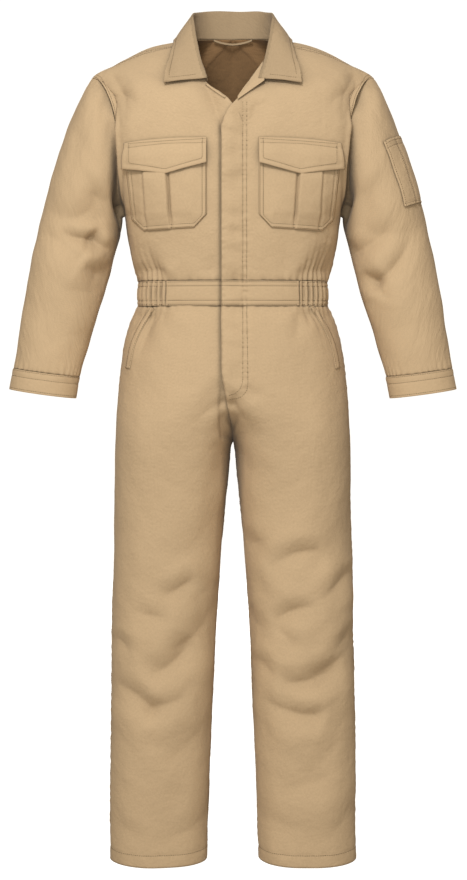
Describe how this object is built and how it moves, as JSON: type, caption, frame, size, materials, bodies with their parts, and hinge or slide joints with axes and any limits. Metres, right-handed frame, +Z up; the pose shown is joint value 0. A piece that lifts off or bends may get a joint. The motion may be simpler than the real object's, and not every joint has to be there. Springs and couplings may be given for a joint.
{
  "type": "boiler suit",
  "caption": "Long-sleeved one-piece work suit with turned-down collar, hidden front closure, elasticated waistband, flapped chest pockets and sleeve pocket.",
  "frame": {"origin": "centre of the neck at shoulder height, where the wearer's shoulders hold it up", "axes": "+X towards the wearer's left, front faces -Y, +Z up"},
  "size_m": [0.7934, 0.2708, 1.5384],
  "materials": {
    "body_twill": "matt poly-cotton twill",
    "collar_twill": "matt poly-cotton twill",
    "cuff_twill": "matt poly-cotton twill",
    "trim_twill": "matt poly-cotton twill",
    "waistband_twill": "matt poly-cotton twill"
  },
  "bodies": {
    "root": {"back": "body_twill", "collar": "collar_twill", "cuff_left": "cuff_twill", "cuff_right": "cuff_twill", "facing_left": "trim_twill", "facing_right": "trim_twill", "flap_left": "trim_twill", "flap_right": "trim_twill", "front_left": "body_twill", "front_right": "body_twill", "hanger_loop": "trim_twill", "leg_back_left": "body_twill", "leg_back_right": "body_twill", "leg_front_left": "body_twill", "leg_front_right": "body_twill", "pen_pocket": "trim_twill", "pocket_left": "trim_twill", "pocket_right": "trim_twill", "side_pocket_left": "trim_twill", "side_pocket_right": "trim_twill", "sleeve_left": "body_twill", "sleeve_right": "body_twill", "waistband_back": "waistband_twill", "waistband_front_left": "waistband_twill", "waistband_front_right": "waistband_twill", "waistband_side_left": "waistband_twill", "waistband_side_right": "waistband_twill"}
  },
  "joints": []
}
